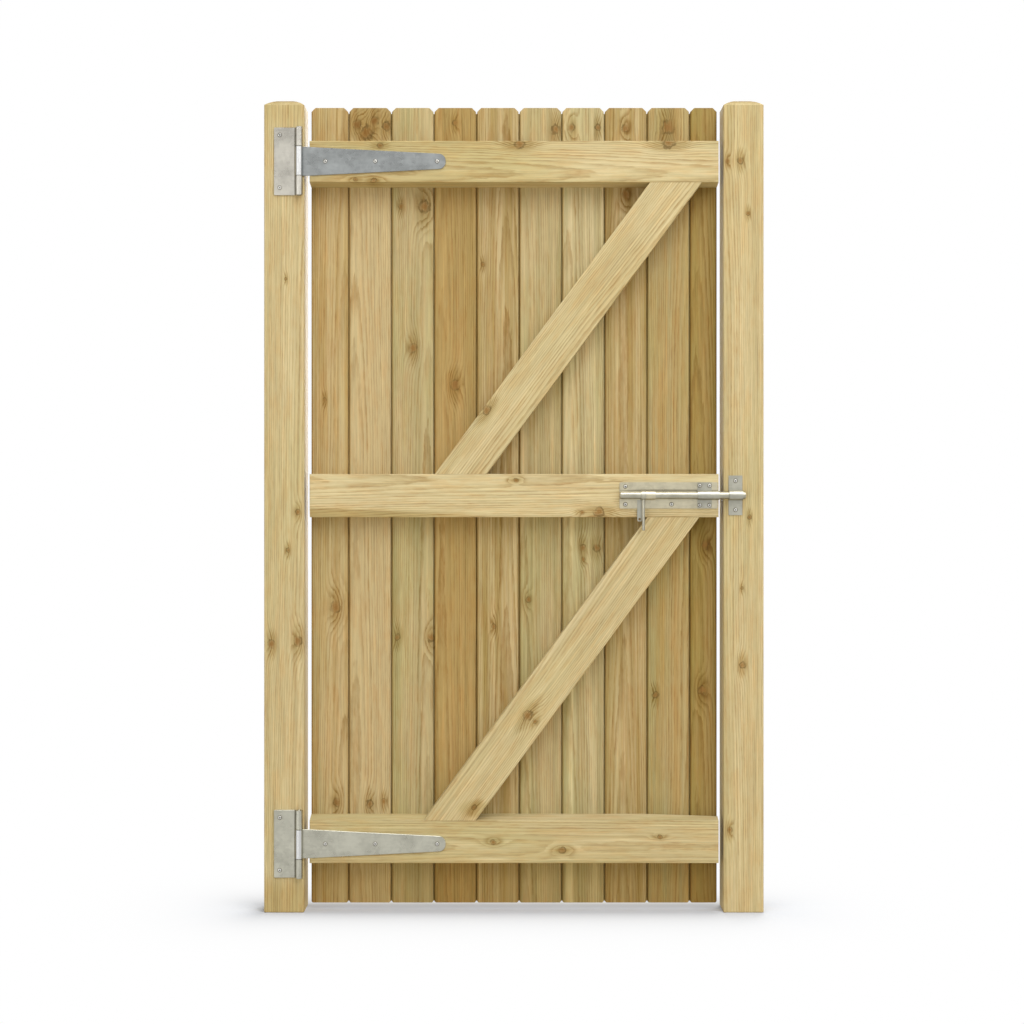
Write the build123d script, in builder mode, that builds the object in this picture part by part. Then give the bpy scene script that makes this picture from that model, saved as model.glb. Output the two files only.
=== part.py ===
import os
from math import asin, atan2, ceil, hypot, sin, tan

from build123d import *

os.makedirs("parts", exist_ok=True)

# A closeboard side gate between two square timber posts. Tongued and grooved
# boards are nailed to three ledges with two braces between them. Two tee hinges
# carry the leaf, and a round sliding bolt with a drop handle locks it.
# The origin is the middle of the hinge post's foot. Z is up, X runs along the
# gate to the latch post, and the ledged face looks towards -Y.

# Posts
post_width = 90.0
post_shoulder_drop = 2.0
post_cap_rise = 16.0
post_arris = 3.0
post_foot_chamfer = 2.0

# Gaps round the leaf
hinge_gap = 12.0
latch_gap = 11.0
ground_gap = 14.0

# Boards
leaf_width = 918.0
leaf_height = 1800.0
board_thickness = 20.0
board_cover = 96.5
first_board_width = 84.5
board_joint = 3.0
board_arris = 1.5
board_ear = 9.0
board_ear_round = 3.0
board_foot_chamfer = 3.0
tongue_thickness = 6.0
tongue_hold = 5.0
tongue_clearance = 0.3
tongue_end_clearance = 1.5

# Ledges
rail_thickness = 45.0
rail_arris = 2.0
top_rail_height = 93.0
top_rail_drop = 129.0
middle_rail_height = 97.0
middle_rail_lift = 921.5
bottom_rail_height = 95.5
bottom_rail_lift = 144.5
bottom_rail_weathering = 9.0
top_rail_splay = 5.0
bottom_wane_length = 165.0
bottom_wane_depth = 22.0
bottom_wane_height = 11.0
middle_wane_length = 420.0
middle_wane_depth = 9.0
middle_wane_height = 23.0

# Braces
brace_width = 94.0
upper_brace_foot_inset = 281.0
upper_brace_head_inset = 37.0
lower_brace_foot_inset = 256.0
lower_brace_head_inset = 43.0

# Tee hinges
hinge_sheet = 3.0
knuckle_radius = 7.75
knuckle_post_clearance = 0.3
knuckle_end_gap = 0.7
knuckle_groove_width = 2.6
hinge_axis_inset = 10.5
hinge_plate_height = 152.0
hinge_plate_reach = 57.0
hinge_plate_corner = 2.5
lower_hinge_drop = 4.0
pin_clearance = 0.05
pin_stand_out = 1.5
pin_end_chamfer = 1.0
strap_root_height = 65.0
strap_tip_height = 33.0
strap_reach = 328.0
strap_tip_round = 16.0
strap_shoulder = 8.0
sheet_edge_chamfer = 0.6

# Screw holes
screw_hole_radius = 2.6
screw_head_radius = 4.6
hinge_plate_screw_inset = 17.0
hinge_plate_screw_edge = 13.0
strap_screw_first = 58.0
strap_screw_second = 170.0
strap_screw_last = 309.0

# Bolt
bolt_rise = 0.5
bolt_sheet = 2.5
bolt_plate_height = 59.0
bolt_plate_corner = 3.0
bolt_plate_end_inset = 2.5
rod_radius = 8.0
rod_plate_gap = 3.0
rod_length = 282.0
rod_throw = 59.5
rod_end_chamfer = 1.5
guide_clearance = 0.1
guide_wall = 2.0
first_guide_offset = 58.5
first_guide_width = 21.0
first_guide_flange = 8.0
last_guide_width = 48.0
last_guide_flange = 19.0
last_guide_flange_width = 32.0
bolt_screw_rise = 20.0
bolt_screw_inset = 13.0
guide_screw_rise = 22.0
guide_screw_inset = 5.0

# Drop handle
handle_radius = 3.4
handle_length = 79.0
handle_eye_wall = 2.4
handle_eye_width = 10.0
handle_eye_clearance = 0.05
handle_stop_gap = 0.5
handle_end_round = 1.6

# Padlock lug
lug_width = 11.0
lug_thickness = 2.5
lug_length = 48.0
lug_offset = 8.0
lug_hole_radius = 2.75
lug_hole_edge = 5.0

# Keeper
keeper_width = 31.0
keeper_height = 89.0
keeper_edge_gap = 11.0
keeper_clearance = 0.8
keeper_wall = 2.2
keeper_screw_spacing = 65.0

# Places worked out from the sizes above
front = -post_width / 2
boards_front = front + rail_thickness
boards_back = boards_front + board_thickness
leaf_left = post_width / 2 + hinge_gap
leaf_right = leaf_left + leaf_width
leaf_top = ground_gap + leaf_height
post_shoulder_height = leaf_top - post_shoulder_drop
top_rail_middle = leaf_top - top_rail_drop
middle_rail_middle = ground_gap + middle_rail_lift
bottom_rail_middle = ground_gap + bottom_rail_lift
latch_post_x = leaf_right + latch_gap + post_width / 2
latch_post_inside = latch_post_x - post_width / 2
hinge_x = post_width / 2 - hinge_axis_inset
hinge_y = front - knuckle_post_clearance - knuckle_radius
knuckle_bore = knuckle_radius - hinge_sheet
upper_hinge_middle = top_rail_middle
lower_hinge_middle = bottom_rail_middle - lower_hinge_drop
bolt_height = middle_rail_middle + bolt_rise
plate_front = front - bolt_sheet
rod_y = plate_front - rod_plate_gap - rod_radius
rod_right = leaf_right + rod_throw
rod_left = rod_right - rod_length
bolt_plate_right = leaf_right - bolt_plate_end_inset
bolt_plate_left = rod_left
bolt_plate_length = bolt_plate_right - bolt_plate_left
guide_bore = rod_radius + guide_clearance


def square_post(middle_x):
    """A planed square post with a top rounded both ways."""
    cap_radius = ((post_width / 2) ** 2 + post_cap_rise**2) / (2 * post_cap_rise)
    cap_centre = post_shoulder_height + post_cap_rise - cap_radius
    post_top = post_shoulder_height + post_cap_rise
    with BuildPart() as post:
        with BuildSketch(Plane.XY) as section:
            with Locations((middle_x, 0)):
                Rectangle(post_width, post_width)
            fillet(section.vertices(), post_arris)
        extrude(amount=post_top)
        chamfer(post.faces().sort_by(Axis.Z)[0].edges(), post_foot_chamfer)
        for plane, across in ((Plane.XZ, middle_x), (Plane.YZ.offset(middle_x), 0)):
            with BuildSketch(plane):
                with Locations((across, cap_centre)):
                    Circle(cap_radius)
                with Locations((across, post_shoulder_height / 2)):
                    Rectangle(post_width, post_shoulder_height)
            extrude(amount=post_width, both=True, mode=Mode.INTERSECT)
    return post.part


def closing_board(left, right, has_groove, has_tongue):
    """One board with dog-eared top corners, a groove and a tongue."""
    board_middle_y = boards_front + board_thickness / 2
    with BuildPart() as board:
        with BuildSketch(Plane.XZ.offset(-boards_back)) as face:
            with Locations(((left + right) / 2, ground_gap + leaf_height / 2)):
                Rectangle(right - left, leaf_height)
            chamfer(face.vertices().group_by(Axis.Y)[-1], board_ear)
            fillet(face.vertices().group_by(Axis.Y)[-1], board_ear_round)
            chamfer(face.vertices().group_by(Axis.Y)[0], board_foot_chamfer)
        extrude(amount=board_thickness)
        chamfer(board.edges().filter_by(Axis.Z), board_arris)
        if has_groove:
            with BuildSketch(Plane.XY.offset(ground_gap)):
                with Locations((left, board_middle_y)):
                    Rectangle(
                        2 * (tongue_hold + tongue_end_clearance),
                        tongue_thickness + 2 * tongue_clearance,
                    )
            extrude(amount=leaf_height, mode=Mode.SUBTRACT)
        if has_tongue:
            tongue_length = board_joint + tongue_hold
            with BuildSketch(Plane.XY.offset(ground_gap + board_foot_chamfer)):
                with Locations((right, board_middle_y)):
                    Rectangle(2 * tongue_length, tongue_thickness)
            extrude(amount=leaf_height - board_foot_chamfer - board_ear - board_joint)
    return board.part


def rail_section(middle, height, rise, drop):
    """Section of a ledge as points in Y and Z, splayed at its back."""
    low = middle - height / 2
    high = middle + height / 2
    return [
        (front, low),
        (front, high),
        (boards_front, high + rise),
        (boards_front, low - drop),
    ]


def cross_rail(section_points):
    """A ledge across the whole leaf with eased front arrises."""
    with BuildPart() as rail:
        with BuildSketch(Plane.YZ.offset(leaf_left)):
            with BuildLine():
                Polyline(*section_points, close=True)
            make_face()
        extrude(amount=leaf_width)
        fillet(rail.faces().sort_by(Axis.Y)[0].edges(), rail_arris)
    return rail.part


def wane(corner, full_x, end_x, depth, height):
    """Wedge that takes a rail's arris off: full size at full_x, almost nothing at end_x."""
    corner_y, corner_z = corner
    with BuildPart() as wedge:
        for x, share in ((end_x, 0.05), (full_x, 1.0)):
            with BuildSketch(Plane.YZ.offset(x)):
                with BuildLine():
                    Polyline(
                        corner,
                        (corner_y + depth * share, corner_z),
                        (corner_y, corner_z + height * share),
                        close=True,
                    )
                make_face()
        loft()
    return wedge.part


def diagonal_brace(foot_inset, head_inset, lower_section, upper_section):
    """A brace flush with the ledges, cut to fit between two of them."""
    foot_x = leaf_left + foot_inset
    foot_height = lower_section[1][1]
    run = leaf_right - head_inset - foot_x
    rise = upper_section[0][1] - foot_height
    angle = atan2(rise, run) + asin(brace_width / hypot(run, rise))
    level_width = brace_width / sin(angle)
    head_height = foot_height + rise
    head_x = foot_x + rise / tan(angle)
    with BuildPart() as brace:
        with BuildSketch(Plane.XZ.offset(-boards_front)):
            with BuildLine():
                Polyline(
                    (foot_x, foot_height),
                    (foot_x + level_width, foot_height),
                    (head_x + level_width, head_height),
                    (head_x, head_height),
                    close=True,
                )
            make_face()
        extrude(amount=rail_thickness)
        for section_points in (lower_section, upper_section):
            with BuildSketch(Plane.YZ.offset(leaf_left)):
                with BuildLine():
                    Polyline(*section_points, close=True)
                make_face()
            extrude(amount=leaf_width, mode=Mode.SUBTRACT)
        front_edges = brace.faces().sort_by(Axis.Y)[0].edges()
        long_edges = front_edges.sort_by(SortBy.LENGTH)[-2:]
        fillet(long_edges, rail_arris)
    return brace.part


def hinge_plate(middle):
    """Post plate of a tee hinge with its two outer knuckles and a groove beside them."""
    groove_edge = hinge_x - knuckle_radius - knuckle_groove_width
    notch_height = strap_root_height + 2 * knuckle_end_gap
    plate_left = hinge_x - hinge_plate_reach
    knuckle_height = (hinge_plate_height - notch_height) / 2
    with BuildPart() as plate:
        with BuildSketch(Plane.XZ.offset(-front)) as outline:
            with Locations(((plate_left + hinge_x) / 2, middle)):
                Rectangle(hinge_x - plate_left, hinge_plate_height)
            fillet(outline.vertices().group_by(Axis.X)[0], hinge_plate_corner)
            with Locations((hinge_x, middle)):
                Rectangle(2 * (hinge_x - groove_edge), notch_height, mode=Mode.SUBTRACT)
        extrude(amount=hinge_sheet)
        chamfer(plate.faces().sort_by(Axis.Y)[0].edges().group_by(Axis.X)[0], sheet_edge_chamfer)
        with BuildSketch(Plane.XZ.offset(hinge_sheet / 2 - front)):
            with Locations(((groove_edge + hinge_x) / 2, middle)):
                Rectangle(hinge_x - groove_edge, hinge_plate_height)
        extrude(amount=hinge_sheet / 2, mode=Mode.SUBTRACT)
        for low in (middle - hinge_plate_height / 2, middle + notch_height / 2):
            with BuildSketch(Plane.XY.offset(low)):
                with Locations((hinge_x, hinge_y)):
                    Circle(knuckle_radius)
            extrude(amount=knuckle_height)
        with BuildSketch(Plane.XY.offset(middle - hinge_plate_height / 2)):
            with Locations((hinge_x, hinge_y)):
                Circle(knuckle_bore)
        extrude(amount=hinge_plate_height, mode=Mode.SUBTRACT)
        screw_x = plate_left + hinge_plate_screw_edge
        screw_rise = hinge_plate_height / 2 - hinge_plate_screw_inset
        with Locations(Plane.XZ.offset(hinge_sheet - front)):
            with Locations((screw_x, middle - screw_rise), (screw_x, middle + screw_rise)):
                CounterSinkHole(screw_hole_radius, screw_head_radius)
    return plate.part


def hinge_pin(middle):
    """Pin through all three knuckles, standing out at both ends."""
    pin_length = hinge_plate_height + 2 * pin_stand_out
    with BuildPart() as pin:
        with BuildSketch(Plane.XY.offset(middle - pin_length / 2)):
            with Locations((hinge_x, hinge_y)):
                Circle(knuckle_bore - pin_clearance)
        extrude(amount=pin_length)
        chamfer(pin.edges().filter_by(GeomType.CIRCLE), pin_end_chamfer)
    return pin.part


def hinge_strap(middle):
    """Tapered strap of a tee hinge with its middle knuckle."""
    taper_start = hinge_x + knuckle_radius + strap_shoulder
    strap_tip = hinge_x + strap_reach
    with BuildPart() as strap:
        with BuildSketch(Plane.XZ.offset(-front)) as outline:
            with BuildLine():
                Polyline(
                    (hinge_x, middle - strap_root_height / 2),
                    (taper_start, middle - strap_root_height / 2),
                    (strap_tip, middle - strap_tip_height / 2),
                    (strap_tip, middle + strap_tip_height / 2),
                    (taper_start, middle + strap_root_height / 2),
                    (hinge_x, middle + strap_root_height / 2),
                    close=True,
                )
            make_face()
            fillet(outline.vertices().group_by(Axis.X)[-1], strap_tip_round)
        extrude(amount=hinge_sheet)
        face_edges = strap.faces().sort_by(Axis.Y)[0].edges().sort_by(Axis.X)
        chamfer(face_edges[1:], sheet_edge_chamfer)
        with BuildSketch(Plane.XY.offset(middle - strap_root_height / 2)):
            with Locations((hinge_x, hinge_y)):
                Circle(knuckle_radius)
        extrude(amount=strap_root_height)
        with BuildSketch(Plane.XY.offset(middle - strap_root_height / 2)):
            with Locations((hinge_x, hinge_y)):
                Circle(knuckle_bore)
        extrude(amount=strap_root_height, mode=Mode.SUBTRACT)
        with Locations(Plane.XZ.offset(hinge_sheet - front)):
            with Locations(
                (hinge_x + strap_screw_first, middle),
                (hinge_x + strap_screw_second, middle),
                (hinge_x + strap_screw_last, middle),
            ):
                CounterSinkHole(screw_hole_radius, screw_head_radius)
    return strap.part


def raised_strap(left, width, back, bore, wall, flange):
    """Sheet strap bent over the rod, with a flange above and below it."""
    outer = bore + wall
    leg_depth = back - rod_y
    with BuildPart() as strap:
        with BuildSketch(Plane.YZ.offset(left)):
            with Locations((rod_y, bolt_height)):
                Circle(outer)
            with Locations((rod_y + leg_depth / 2, bolt_height)):
                Rectangle(leg_depth, 2 * outer)
            with Locations((back - wall / 2, bolt_height)):
                Rectangle(wall, 2 * (outer + flange))
            with Locations((rod_y, bolt_height)):
                Circle(bore, mode=Mode.SUBTRACT)
            with Locations((rod_y + leg_depth / 2, bolt_height)):
                Rectangle(leg_depth, 2 * bore, mode=Mode.SUBTRACT)
        extrude(amount=width)
    return strap.part


# Posts
hinge_post = square_post(0)
latch_post = square_post(latch_post_x)

# Ledges and braces
top_section = rail_section(top_rail_middle, top_rail_height, 0, top_rail_splay)
middle_section = rail_section(middle_rail_middle, middle_rail_height, 0, 0)
bottom_section = rail_section(bottom_rail_middle, bottom_rail_height, bottom_rail_weathering, 0)
top_rail = cross_rail(top_section)
upper_brace = diagonal_brace(
    upper_brace_foot_inset, upper_brace_head_inset, middle_section, top_section
)
lower_brace = diagonal_brace(
    lower_brace_foot_inset, lower_brace_head_inset, bottom_section, middle_section
)

# Two ledges were sawn close to the bark: a wane runs out at an arris of each
with BuildPart() as middle_rail:
    add(cross_rail(middle_section))
    middle_wane_end = leaf_left + middle_wane_length
    add(
        wane(
            middle_section[0],
            leaf_left,
            middle_wane_end,
            middle_wane_depth,
            middle_wane_height,
        ),
        mode=Mode.SUBTRACT,
    )
with BuildPart() as bottom_rail:
    add(cross_rail(bottom_section))
    bottom_wane_end = leaf_right - bottom_wane_length
    add(
        wane(
            bottom_section[2],
            leaf_right,
            bottom_wane_end,
            -bottom_wane_depth,
            -bottom_wane_height,
        ),
        mode=Mode.SUBTRACT,
    )

# Upper and lower tee hinges
upper_hinge_plate = hinge_plate(upper_hinge_middle)
upper_hinge_pin = hinge_pin(upper_hinge_middle)
upper_hinge_strap = hinge_strap(upper_hinge_middle)
lower_hinge_plate = hinge_plate(lower_hinge_middle)
lower_hinge_pin = hinge_pin(lower_hinge_middle)
lower_hinge_strap = hinge_strap(lower_hinge_middle)

# Where the bolt's guides and handle stand along the plate
last_guide_left = leaf_right - last_guide_width
first_guide_left = bolt_plate_left + first_guide_offset
handle_x = first_guide_left - handle_stop_gap - handle_eye_width / 2

# Bolt back plate
with BuildPart() as bolt_backplate:
    with BuildSketch(Plane.XZ.offset(-front)) as plate_outline:
        with Locations(((bolt_plate_left + bolt_plate_right) / 2, bolt_height)):
            Rectangle(bolt_plate_length, bolt_plate_height)
        fillet(plate_outline.vertices(), bolt_plate_corner)
    extrude(amount=bolt_sheet)
    with Locations(Plane.XZ.offset(-plate_front)):
        with Locations(
            (bolt_plate_left + bolt_screw_inset, bolt_height + bolt_screw_rise),
            (bolt_plate_left + bolt_screw_inset, bolt_height - bolt_screw_rise),
            ((first_guide_left + last_guide_left) / 2, bolt_height - bolt_screw_rise),
        ):
            CounterSinkHole(screw_hole_radius, screw_head_radius)

# Guides that hold the rod
first_guide = raised_strap(
    first_guide_left, first_guide_width, plate_front, guide_bore, guide_wall, first_guide_flange
)
with BuildPart() as last_guide:
    add(
        raised_strap(
            last_guide_left,
            last_guide_width,
            plate_front,
            guide_bore,
            guide_wall,
            last_guide_flange,
        )
    )
    sleeve_only = last_guide_width - last_guide_flange_width
    flange_rise = guide_bore + guide_wall + last_guide_flange / 2
    with BuildSketch(Plane.XZ.offset(-plate_front)):
        for rise in (flange_rise, -flange_rise):
            with Locations((leaf_right - sleeve_only / 2, bolt_height + rise)):
                Rectangle(sleeve_only, last_guide_flange)
    extrude(amount=guide_wall, mode=Mode.SUBTRACT)
    flange_right = last_guide_left + last_guide_flange_width
    with Locations(Plane.XZ.offset(guide_wall - plate_front)):
        with Locations(
            (last_guide_left + guide_screw_inset, bolt_height + guide_screw_rise),
            (flange_right - guide_screw_inset, bolt_height + guide_screw_rise),
            (last_guide_left + guide_screw_inset, bolt_height - guide_screw_rise),
            (flange_right - guide_screw_inset, bolt_height - guide_screw_rise),
        ):
            Hole(screw_hole_radius)

# Sliding rod
with BuildPart() as bolt_rod:
    with BuildSketch(Plane.YZ.offset(rod_left)):
        with Locations((rod_y, bolt_height)):
            Circle(rod_radius)
    extrude(amount=rod_length)
    chamfer(bolt_rod.edges().filter_by(GeomType.CIRCLE), rod_end_chamfer)

# Drop handle, hung on the rod by an eye
with BuildPart() as bolt_handle:
    eye_bore = rod_radius + handle_eye_clearance
    with BuildSketch(Plane.XY.offset(bolt_height - handle_length)):
        with Locations((handle_x, rod_y)):
            Circle(handle_radius)
    extrude(amount=handle_length)
    fillet(bolt_handle.edges().filter_by(GeomType.CIRCLE).sort_by(Axis.Z)[0], handle_end_round)
    with BuildSketch(Plane.YZ.offset(handle_x - handle_eye_width / 2)):
        with Locations((rod_y, bolt_height)):
            Circle(eye_bore + handle_eye_wall)
    extrude(amount=handle_eye_width)
    with BuildSketch(Plane.YZ.offset(handle_x - handle_eye_width / 2)):
        with Locations((rod_y, bolt_height)):
            Circle(eye_bore)
    extrude(amount=handle_eye_width, mode=Mode.SUBTRACT)

# Flat lug that a padlock goes through
with BuildPart() as padlock_lug:
    lug_top = bolt_height - rod_radius - handle_eye_wall
    lug_x = handle_x - lug_offset
    with BuildSketch(Plane.XZ.offset(-plate_front)) as lug_outline:
        with Locations((lug_x, lug_top - lug_length / 2)):
            Rectangle(lug_width, lug_length)
        fillet(lug_outline.vertices().group_by(Axis.Y)[0], lug_width / 3)
        with Locations((lug_x, lug_top - lug_length + lug_hole_edge)):
            Circle(lug_hole_radius, mode=Mode.SUBTRACT)
    extrude(amount=lug_thickness)

# Keeper on the latch post
keeper_left = latch_post_inside + keeper_edge_gap
keeper_bore = rod_radius + keeper_clearance
keeper_flange = keeper_height / 2 - keeper_bore - keeper_wall
with BuildPart() as bolt_keeper:
    add(raised_strap(keeper_left, keeper_width, front, keeper_bore, keeper_wall, keeper_flange))
    with Locations(Plane.XZ.offset(keeper_wall - front)):
        with Locations(
            (keeper_left + keeper_width / 2, bolt_height + keeper_screw_spacing / 2),
            (keeper_left + keeper_width / 2, bolt_height - keeper_screw_spacing / 2),
        ):
            CounterSinkHole(screw_hole_radius, screw_head_radius)

pieces = {
    "hinge_post": hinge_post,
    "latch_post": latch_post,
    "top_rail": top_rail,
    "middle_rail": middle_rail.part,
    "bottom_rail": bottom_rail.part,
    "upper_brace": upper_brace,
    "lower_brace": lower_brace,
    "upper_hinge_plate": upper_hinge_plate,
    "upper_hinge_pin": upper_hinge_pin,
    "upper_hinge_strap": upper_hinge_strap,
    "lower_hinge_plate": lower_hinge_plate,
    "lower_hinge_pin": lower_hinge_pin,
    "lower_hinge_strap": lower_hinge_strap,
    "bolt_backplate": bolt_backplate.part,
    "first_guide": first_guide,
    "last_guide": last_guide.part,
    "bolt_rod": bolt_rod.part,
    "bolt_handle": bolt_handle.part,
    "padlock_lug": padlock_lug.part,
    "bolt_keeper": bolt_keeper.part,
}

# Boards from the hinge side to the latch side, the first and last cut narrower
joint_count = ceil((leaf_width - first_board_width) / board_cover)
joints = [leaf_left + first_board_width + i * board_cover for i in range(joint_count)]
for number in range(joint_count + 1):
    is_first = number == 0
    is_last = number == joint_count
    left_edge = leaf_left if is_first else joints[number - 1] + board_joint / 2
    right_edge = leaf_right if is_last else joints[number] - board_joint / 2
    board = closing_board(left_edge, right_edge, not is_first, not is_last)
    pieces[f"board_{number + 1:02d}"] = board

for name, piece in pieces.items():
    piece.label = name
    export_step(piece, f"parts/{name}.step")
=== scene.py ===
"""Finishes, fixings and studio for a closeboard timber side gate.

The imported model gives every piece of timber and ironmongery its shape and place, in metres:
+Z up, +X along the closed gate towards the latch post, the ledged face towards -Y.
"""

import math
from collections import namedtuple

import bpy
from bpy.props import FloatProperty, FloatVectorProperty, IntProperty, PointerProperty
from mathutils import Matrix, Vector


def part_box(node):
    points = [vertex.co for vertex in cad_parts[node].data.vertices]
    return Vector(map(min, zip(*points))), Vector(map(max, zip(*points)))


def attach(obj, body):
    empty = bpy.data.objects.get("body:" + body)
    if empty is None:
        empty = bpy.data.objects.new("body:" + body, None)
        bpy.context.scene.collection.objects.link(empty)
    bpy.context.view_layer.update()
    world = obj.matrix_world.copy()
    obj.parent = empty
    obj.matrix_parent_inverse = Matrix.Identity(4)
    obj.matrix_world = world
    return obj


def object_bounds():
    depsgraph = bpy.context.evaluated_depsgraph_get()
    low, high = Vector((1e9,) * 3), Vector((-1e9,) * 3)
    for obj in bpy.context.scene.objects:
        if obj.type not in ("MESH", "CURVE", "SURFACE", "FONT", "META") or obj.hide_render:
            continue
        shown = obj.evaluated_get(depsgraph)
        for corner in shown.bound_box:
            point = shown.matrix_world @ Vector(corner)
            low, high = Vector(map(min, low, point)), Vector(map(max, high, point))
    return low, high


bl_info = {
    "name": "Side Gate Finisher",
    "version": (1, 0, 0),
    "blender": (4, 5, 0),
    "location": "View3D > Sidebar > Gate",
    "description": "Gives a closeboard side gate its timber, zinc, screws, nails and studio",
    "category": "Object",
}

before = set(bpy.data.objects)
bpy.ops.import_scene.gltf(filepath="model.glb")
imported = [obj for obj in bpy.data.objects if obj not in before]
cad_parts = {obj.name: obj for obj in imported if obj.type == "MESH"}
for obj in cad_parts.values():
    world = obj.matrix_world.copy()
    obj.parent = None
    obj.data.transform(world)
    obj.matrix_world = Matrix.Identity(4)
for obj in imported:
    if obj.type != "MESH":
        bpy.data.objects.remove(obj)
cad_low, cad_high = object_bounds()

MM = 0.001


def paint(red, green, blue):
    """A colour read off a paint chart, 0 to 255 a channel, as Blender's linear colour."""
    def linear(channel):
        share = channel / 255
        return share / 12.92 if share <= 0.04045 else ((share + 0.055) / 1.055) ** 2.4

    return (linear(red), linear(green), linear(blue))


# Settings a user would change

class GateStudioSettings(bpy.types.PropertyGroup):
    """Where the picture is taken from, and how the gate is lit."""

    picture_width: FloatProperty(
        name="Picture width", description="Width of the picture at the gate's front face",
        default=2.2973, min=0.5, unit="LENGTH")
    camera_distance: FloatProperty(
        name="Camera distance", description="From the gate's front face to the camera",
        default=4.6, min=1.0, unit="LENGTH")
    camera_across: FloatProperty(
        name="Camera across", description="Camera's place along the gate, from the hinge post's middle",
        default=0.5113, unit="LENGTH")
    camera_height: FloatProperty(
        name="Camera height", description="Camera's height above the ground",
        default=0.8987, min=0.1, unit="LENGTH")
    sky_strength: FloatProperty(
        name="Sky strength", description="Light that comes from all round",
        default=0.42, min=0.0)
    key_power: FloatProperty(
        name="Key power", description="Softbox in front, high on the latch side",
        default=435.0, min=0.0, unit="POWER")
    fill_power: FloatProperty(
        name="Fill power", description="Softbox in front, on the hinge side",
        default=70.0, min=0.0, unit="POWER")
    top_power: FloatProperty(
        name="Top power", description="Softbox above the gate",
        default=98.0, min=0.0, unit="POWER")
    back_power: FloatProperty(
        name="Back power", description="Softbox behind the gate",
        default=245.0, min=0.0, unit="POWER")
    floor_size: FloatProperty(
        name="Floor size", description="Side of the square floor",
        default=60.0, min=4.0, unit="LENGTH")
    shadow_reach: FloatProperty(
        name="Shadow reach", description="Distance from the gate at which two thirds of its shadow is gone",
        default=0.085, min=0.01, unit="LENGTH")


class GateTimberSettings(bpy.types.PropertyGroup):
    """Colours and grain of pressure treated pine."""

    cream: FloatVectorProperty(
        name="Cream", description="Pale planed sapwood",
        subtype="COLOR", default=paint(200, 186, 146))
    sand: FloatVectorProperty(
        name="Sand", description="Darker streaks of planed sapwood",
        subtype="COLOR", default=paint(186, 171, 129))
    straw: FloatVectorProperty(
        name="Straw", description="Common sapwood",
        subtype="COLOR", default=paint(186, 168, 127))
    honey: FloatVectorProperty(
        name="Honey", description="Brown heartwood",
        subtype="COLOR", default=paint(173, 147, 96))
    olive: FloatVectorProperty(
        name="Olive", description="Wood that took up much of the treatment",
        subtype="COLOR", default=paint(166, 153, 112))
    tan: FloatVectorProperty(
        name="Tan", description="Deep brown heartwood",
        subtype="COLOR", default=paint(157, 134, 83))
    umber: FloatVectorProperty(
        name="Umber", description="The darkest boards",
        subtype="COLOR", default=paint(149, 128, 73))
    knot: FloatVectorProperty(
        name="Knot", description="Inside of a live knot",
        subtype="COLOR", default=paint(134, 96, 50))
    bark: FloatVectorProperty(
        name="Bark", description="Dark ring round a knot",
        subtype="COLOR", default=paint(84, 65, 32))
    ring_width: FloatProperty(
        name="Ring width", description="One year's growth",
        default=3.4 * MM, min=0.5 * MM, unit="LENGTH")
    grain_depth: FloatProperty(
        name="Grain depth", description="Height of the raised grain",
        default=0.35 * MM, min=0.0, unit="LENGTH")


class GateZincSettings(bpy.types.PropertyGroup):
    """Colours and crystals of the galvanised ironmongery."""

    pale: FloatVectorProperty(
        name="Pale zinc", description="Bright sheet",
        subtype="COLOR", default=paint(194, 190, 179))
    dull: FloatVectorProperty(
        name="Dull zinc", description="Aged sheet",
        subtype="COLOR", default=paint(187, 185, 170))
    blue: FloatVectorProperty(
        name="Blue zinc", description="Sheet with a cold cast",
        subtype="COLOR", default=paint(156, 159, 158))
    warm: FloatVectorProperty(
        name="Warm zinc", description="Sheet with a warm cast",
        subtype="COLOR", default=paint(200, 192, 166))
    grey: FloatVectorProperty(
        name="Grey zinc", description="Keeper, last guide and padlock lug",
        subtype="COLOR", default=paint(176, 174, 160))
    bright: FloatVectorProperty(
        name="Bright bar", description="Rod, handle and pins",
        subtype="COLOR", default=paint(180, 176, 158))
    screw: FloatVectorProperty(
        name="Screw zinc", description="Heads of screws",
        subtype="COLOR", default=paint(222, 220, 212))
    spangle: FloatProperty(
        name="Spangle", description="Size of the zinc's crystals",
        default=7 * MM, min=1 * MM, unit="LENGTH")


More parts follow.
